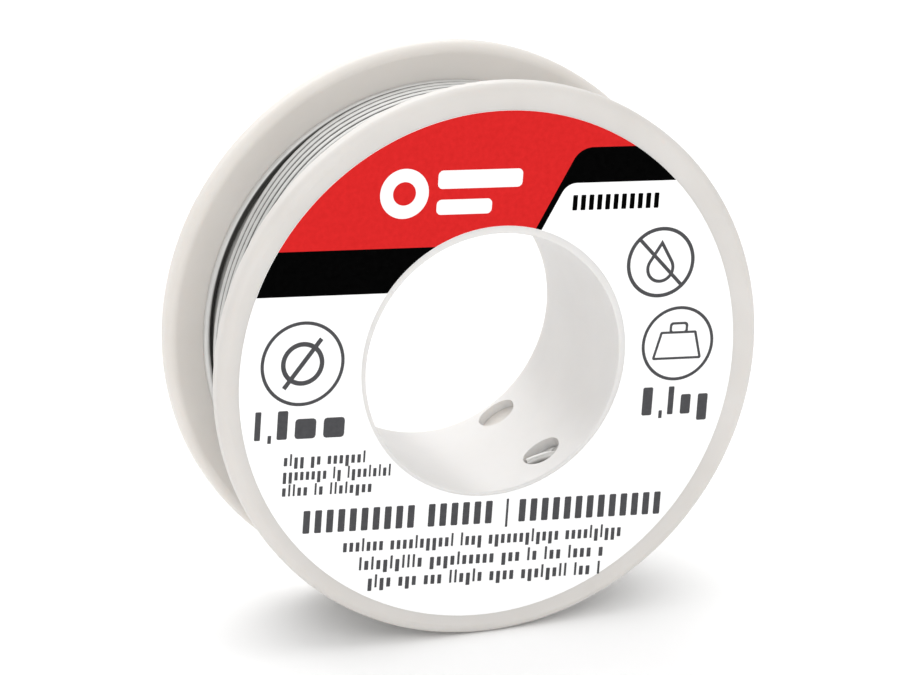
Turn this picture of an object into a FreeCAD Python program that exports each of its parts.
import FreeCAD, Part
import math
import os

# Solder wire spool, 100 g of 1.0 mm wire, standing on its two rims.
# Millimetres. +Z is up and the bore's axis lies along Y.
# The origin is on the bore's axis, halfway between the outer faces of the two flanges.
# The labelled front flange faces -Y and the rear flange faces +Y.

# Driving dimensions of the spool
FLANGE_D = 60.0
SPOOL_WIDTH = 20.8
BORE_D = 28.2
FLANGE_T = 3.0
RIM_ROUND = 1.1

# Drum: a thin tube whose reduced ends are the seats of the two flanges
DRUM_WALL = 1.2
SEAT_STEP = 0.2
BORE_EDGE_ROUND = 0.15
ANCHOR_HOLE_D = 4.3
ANCHOR_HOLE_ANGLE = -59.0
ANCHOR_HOLE_Y = (-5.7, 7.6)

# Marks that the mould leaves in the outer face of each flange
EJECTOR_MARK_D = 3.2
EJECTOR_MARK_DEPTH = 0.15
EJECTOR_MARK_RADIUS = 22.0
EJECTOR_MARK_COUNT = 4
EJECTOR_MARK_START = 45.0
GATE_DIMPLE_D = 3.6
GATE_DIMPLE_DEPTH = 0.4
GATE_STUB_D = 1.4
GATE_STUB_HEIGHT = 0.25
GATE_RADIUS = 18.5
GATE_ANGLE = 90.0

# Printed paper label on the front flange. Its outline and its punched hole are both slightly off centre
LABEL_OUTER_D = 55.0
LABEL_OUTER_SHIFT = (-0.4, -0.2)
LABEL_HOLE_D = 29.4
LABEL_HOLE_SHIFT = (0.05, 0.25)
LABEL_T = 0.1

# Wire winding: the outer shape of the whole coil, between the flanges and round the drum
WINDING_D = 52.4

# Derived sizes
FLANGE_R = FLANGE_D / 2
BORE_R = BORE_D / 2
DRUM_R = BORE_R + DRUM_WALL
SEAT_R = DRUM_R - SEAT_STEP
HALF_WIDTH = SPOOL_WIDTH / 2
INNER_FACE_Y = HALF_WIDTH - FLANGE_T
AXIS = FreeCAD.Vector(0, 1, 0)


def point(radius, y):
    """A point of a half section, in the XY plane."""
    return FreeCAD.Vector(radius, y, 0)


def line(start, end):
    return Part.LineSegment(point(*start), point(*end)).toShape()


def arc(start, middle, end):
    return Part.Arc(point(*start), point(*middle), point(*end)).toShape()


def turned(edges):
    """The solid of revolution of a closed half section about the spool's axis."""
    face = Part.Face(Part.Wire(edges))
    return face.revolve(FreeCAD.Vector(0, 0, 0), AXIS, 360)


def radial_direction(angle_deg):
    angle = math.radians(angle_deg)
    return FreeCAD.Vector(math.cos(angle), 0, math.sin(angle))


def rounded_corner(radius, y, size, outward, side):
    """Three points of the arc that rounds a corner of a half section, from its level side to its end face.

    outward is 1 where the material lies inside that radius and -1 where it lies outside.
    side is 1 where the end face looks along +Y and -1 where it looks along -Y.
    """
    inset = size * (1 - math.sqrt(0.5))
    start = (radius, y - side * size)
    middle = (radius - outward * inset, y - side * inset)
    end = (radius - outward * size, y)
    return start, middle, end


def core_tube():
    """The drum: a tube with a shoulder at each end and two radial holes that anchor the wire."""
    front = rounded_corner(BORE_R, -HALF_WIDTH, BORE_EDGE_ROUND, -1, -1)
    rear = rounded_corner(BORE_R, HALF_WIDTH, BORE_EDGE_ROUND, -1, 1)
    outline = [
        line(front[0], rear[0]),
        arc(*rear),
        line(rear[2], (SEAT_R, HALF_WIDTH)),
        line((SEAT_R, HALF_WIDTH), (SEAT_R, INNER_FACE_Y)),
        line((SEAT_R, INNER_FACE_Y), (DRUM_R, INNER_FACE_Y)),
        line((DRUM_R, INNER_FACE_Y), (DRUM_R, -INNER_FACE_Y)),
        line((DRUM_R, -INNER_FACE_Y), (SEAT_R, -INNER_FACE_Y)),
        line((SEAT_R, -INNER_FACE_Y), (SEAT_R, -HALF_WIDTH)),
        line((SEAT_R, -HALF_WIDTH), front[2]),
        arc(*reversed(front)),
    ]
    tube = turned(outline)
    outward = radial_direction(ANCHOR_HOLE_ANGLE)
    for hole_y in ANCHOR_HOLE_Y:
        start = outward * (BORE_R - DRUM_WALL * 2) + AXIS * hole_y
        hole = Part.makeCylinder(ANCHOR_HOLE_D / 2, DRUM_WALL * 5, start, outward)
        tube = tube.cut(hole)
    return tube


def face_disc(diameter, thickness, radius, angle_deg, y, direction):
    """A small cylinder that stands on a flange's outer face, or sinks into it."""
    centre = radial_direction(angle_deg) * radius + AXIS * y
    return Part.makeCylinder(diameter / 2, thickness, centre, AXIS * direction)


def flange(side):
    """A flange with a rounded rim. side is -1 at the front and 1 at the rear."""
    outer_y = side * HALF_WIDTH
    inner_y = side * INNER_FACE_Y
    outer = rounded_corner(FLANGE_R, outer_y, RIM_ROUND, 1, side)
    inner = rounded_corner(FLANGE_R, inner_y, RIM_ROUND, 1, -side)
    outline = [
        line((SEAT_R, inner_y), inner[2]),
        arc(*reversed(inner)),
        line(inner[0], outer[0]),
        arc(*outer),
        line(outer[2], (SEAT_R, outer_y)),
        line((SEAT_R, outer_y), (SEAT_R, inner_y)),
    ]
    disc = turned(outline)
    for index in range(EJECTOR_MARK_COUNT):
        angle = EJECTOR_MARK_START + index * 360 / EJECTOR_MARK_COUNT
        mark = face_disc(
            EJECTOR_MARK_D, EJECTOR_MARK_DEPTH, EJECTOR_MARK_RADIUS, angle, outer_y, -side
        )
        disc = disc.cut(mark)
    dimple = face_disc(
        GATE_DIMPLE_D, GATE_DIMPLE_DEPTH, GATE_RADIUS, GATE_ANGLE, outer_y, -side
    )
    dimple_floor_y = outer_y - side * GATE_DIMPLE_DEPTH
    stub = face_disc(
        GATE_STUB_D, GATE_STUB_HEIGHT, GATE_RADIUS, GATE_ANGLE, dimple_floor_y, side
    )
    return disc.cut(dimple).fuse(stub)


def cylinder(diameter, length, start_y, shift=(0.0, 0.0)):
    """A cylinder along the spool's axis, or beside it by a shift in X and Z."""
    start = FreeCAD.Vector(shift[0], start_y, shift[1])
    return Part.makeCylinder(diameter / 2, length, start, AXIS)


def front_label():
    front_y = -HALF_WIDTH - LABEL_T
    sheet = cylinder(LABEL_OUTER_D, LABEL_T, front_y, LABEL_OUTER_SHIFT)
    return sheet.cut(cylinder(LABEL_HOLE_D, LABEL_T, front_y, LABEL_HOLE_SHIFT))


def wire_winding():
    coil = cylinder(WINDING_D, 2 * INNER_FACE_Y, -INNER_FACE_Y)
    return coil.cut(cylinder(DRUM_R * 2, 2 * INNER_FACE_Y, -INNER_FACE_Y))


NODES = {
    "core_tube": core_tube(),
    "front_flange": flange(-1),
    "rear_flange": flange(1),
    "front_label": front_label(),
    "wire_winding": wire_winding(),
}

os.makedirs("parts", exist_ok=True)
for name, shape in NODES.items():
    shape.exportStep("parts/" + name + ".step")
    print(name, shape.isValid(), len(shape.Solids), round(shape.Volume, 1))
